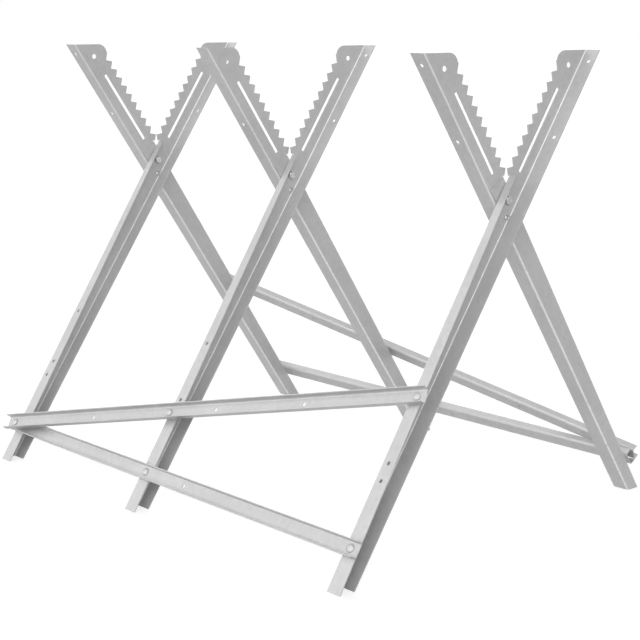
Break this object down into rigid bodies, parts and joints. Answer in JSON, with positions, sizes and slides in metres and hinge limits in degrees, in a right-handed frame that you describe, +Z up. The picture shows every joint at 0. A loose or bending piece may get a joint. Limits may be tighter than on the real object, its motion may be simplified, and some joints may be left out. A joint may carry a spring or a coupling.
{
  "type": "log saw stand",
  "caption": "Folding sawhorse of galvanised sheet steel for cutting logs, with crossed channel legs, toothed V jaws, and bolted rails and diagonals front and back.",
  "frame": {"origin": "on the floor, under the centre of the stand's bounding box", "axes": "+Z up, +X along the row of frames and along the log, the front feet with the visible rail on the -Y side"},
  "size_m": [1.0088, 0.7716, 0.79],
  "materials": {
    "leg_sheet": "satin galvanised",
    "arm_sheet": "satin galvanised",
    "brace_sheet": "satin galvanised",
    "bolt_zinc": "zinc plated",
    "nut_zinc": "zinc plated"
  },
  "bodies": {
    "front_frame": {"front_leg_left": "leg_sheet", "front_leg_middle": "leg_sheet", "front_leg_right": "leg_sheet", "front_arm_left": "arm_sheet", "front_arm_middle": "arm_sheet", "front_arm_right": "arm_sheet", "front_rail": "brace_sheet", "front_diagonal": "brace_sheet", "pivot_bolts": "bolt_zinc", "pivot_nuts": "nut_zinc", "pivot_spacers": "nut_zinc", "stop_pins": "bolt_zinc", "front_short_bolts": "bolt_zinc", "front_long_bolts": "bolt_zinc", "front_brace_nuts": "nut_zinc"},
    "back_frame": {"back_leg_left": "leg_sheet", "back_leg_middle": "leg_sheet", "back_leg_right": "leg_sheet", "back_arm_left": "arm_sheet", "back_arm_middle": "arm_sheet", "back_arm_right": "arm_sheet", "back_rail": "brace_sheet", "back_diagonal": "brace_sheet", "back_short_bolts": "bolt_zinc", "back_long_bolts": "bolt_zinc", "back_brace_nuts": "nut_zinc"}
  },
  "joints": [
    {"name": "fold", "type": "hinge", "parent": "front_frame", "child": "back_frame", "pos_m": [0, 0, 0.557], "axis": [-1, 0, 0], "range_deg": [0, 66]}
  ]
}
